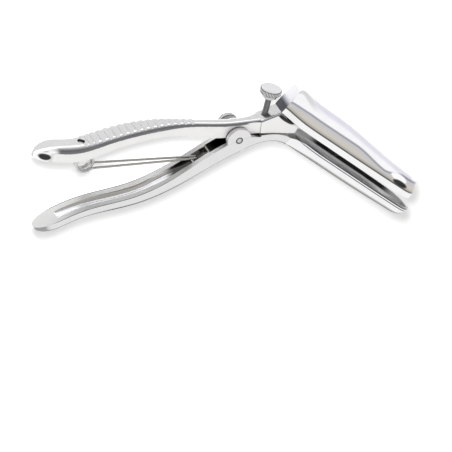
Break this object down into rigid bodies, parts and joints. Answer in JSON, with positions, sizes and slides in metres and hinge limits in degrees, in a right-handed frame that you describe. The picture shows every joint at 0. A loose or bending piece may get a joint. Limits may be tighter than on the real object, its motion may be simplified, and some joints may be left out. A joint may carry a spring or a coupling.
{
  "type": "bivalve speculum",
  "caption": "Hand-held speculum with two trough-shaped blades on a pivot, angled handles, a torsion spring and a set screw.",
  "frame": {"origin": "centre of the pivot head's flat outer face, which the instrument rests on", "axes": "+Z along the pivot's axis from that face into the instrument; +X towards the blades; +Y towards the set screw's head"},
  "size_m": [0.2024, 0.0774, 0.0217],
  "materials": {
    "satin_steel": "satin",
    "polished_steel": "polished",
    "turned_steel": "turned",
    "spring_wire": "drawn"
  },
  "bodies": {
    "lower": {"lower_lever": "satin_steel", "lower_blade": "polished_steel", "pivot_screw": "turned_steel", "spring_pin": "turned_steel"},
    "upper": {"upper_lever": "satin_steel", "upper_blade": "polished_steel", "spring_anchor": "turned_steel"},
    "screw": {"thumb_screw": "turned_steel"},
    "spring": {"torsion_spring": "spring_wire"}
  },
  "joints": [
    {"name": "squeeze", "type": "hinge", "parent": "lower", "child": "upper", "pos_m": [0, 0, 0.0115], "axis": [0, 0, 1], "range_deg": [0, 13.5], "stiffness_Nm_per_rad": 0.5},
    {"name": "set_screw_travel", "type": "slide", "parent": "upper", "child": "screw", "axis": [0, 1, 0], "range_m": [-0.0022, 0.0035]},
    {"name": "spring_give", "type": "hinge", "parent": "upper", "child": "spring", "pos_m": [-0.07474, -0.01438, 0.0115], "axis": [0, 0, 1], "range_deg": [0, 5.2], "deforming": ["torsion_spring"]}
  ],
  "couplings": [
    {"joint": "spring_give", "follows": "squeeze", "ratio": 0.38}
  ]
}
